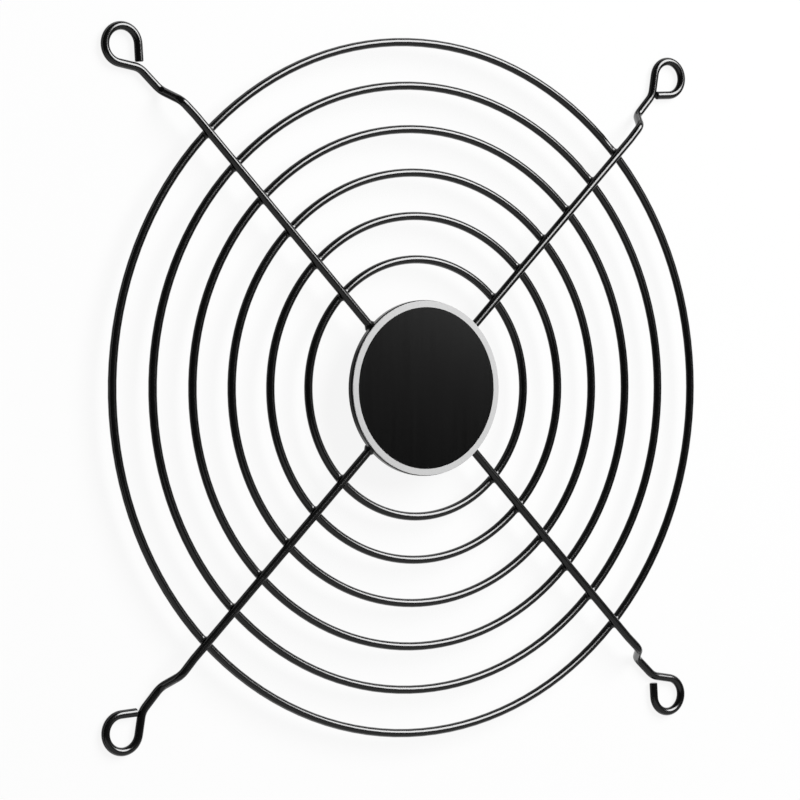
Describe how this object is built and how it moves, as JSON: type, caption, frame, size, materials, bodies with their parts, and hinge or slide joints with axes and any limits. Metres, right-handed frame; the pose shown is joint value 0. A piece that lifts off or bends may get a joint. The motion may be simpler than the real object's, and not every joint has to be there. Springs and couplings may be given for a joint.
{
  "type": "wire fan guard",
  "caption": "Round wire guard for an axial fan: concentric rings welded behind radial spokes whose ends are bent into screw eyes, with a plain disc badge at the centre.",
  "frame": {"origin": "centre of the four-eye pattern, on the plane that the backs of the eyes rest on", "axes": "+Z out of the front, towards the badge; +Y towards the top pair of eyes; +X to the right seen from the front"},
  "size_m": [0.1331, 0.133, 0.0068],
  "materials": {
    "black_coat": "gloss black coating over steel wire and plate",
    "badge_metal": "satin black face inside a bright matt rim"
  },
  "bodies": {
    "root": {"ring_1": "black_coat", "ring_2": "black_coat", "ring_3": "black_coat", "ring_4": "black_coat", "ring_5": "black_coat", "ring_6": "black_coat", "spoke_top_left": "black_coat", "spoke_top_right": "black_coat", "spoke_bottom_left": "black_coat", "spoke_bottom_right": "black_coat", "centre_plate": "black_coat", "badge": "badge_metal"}
  },
  "joints": []
}
